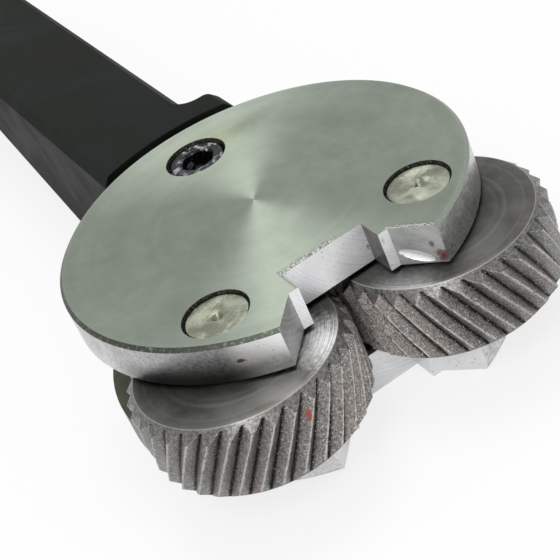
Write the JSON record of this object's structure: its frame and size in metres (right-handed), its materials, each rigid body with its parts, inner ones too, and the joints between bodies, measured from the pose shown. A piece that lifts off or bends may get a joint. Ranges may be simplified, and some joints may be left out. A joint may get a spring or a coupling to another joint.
{
  "type": "knurling tool",
  "caption": "Lathe knurling tool: a square shank carries a swivelling round head with a pair of helically toothed wheels that press a diamond pattern.",
  "frame": {"origin": "on the axis of the round head, at the underside of its bottom plate", "axes": "+X from the shank towards the wheels and the work, +Z along the wheel axes, towards the plate with the socket screw"},
  "size_m": [0.12, 0.0404, 0.0158],
  "materials": {
    "blackened_steel": "black oxide, matt",
    "plate_steel": "faced, ground bright",
    "pin_steel": "bright",
    "screw_steel": "black",
    "wheel_steel": "hardened, grey, slightly worn"
  },
  "bodies": {
    "shank": {"tool_body": "blackened_steel"},
    "head": {"bottom_plate": "plate_steel", "top_plate": "plate_steel", "left_axle_pin": "pin_steel", "right_axle_pin": "pin_steel", "pivot_screw": "screw_steel"},
    "left_wheel": {"left_wheel": "wheel_steel"},
    "right_wheel": {"right_wheel": "wheel_steel"}
  },
  "joints": [
    {"name": "head_swivel", "type": "hinge", "parent": "shank", "child": "head", "pos_m": [-0.01284, 0, 0.0079], "axis": [0, 0, 1], "range_deg": [-8, 8]},
    {"name": "left_wheel_spin", "type": "hinge", "parent": "head", "child": "left_wheel", "pos_m": [0.0108, -0.0102, 0.0079], "axis": [0, 0, 1], "continuous": true},
    {"name": "right_wheel_spin", "type": "hinge", "parent": "head", "child": "right_wheel", "pos_m": [0.0108, 0.0102, 0.0079], "axis": [0, 0, 1], "continuous": true}
  ]
}
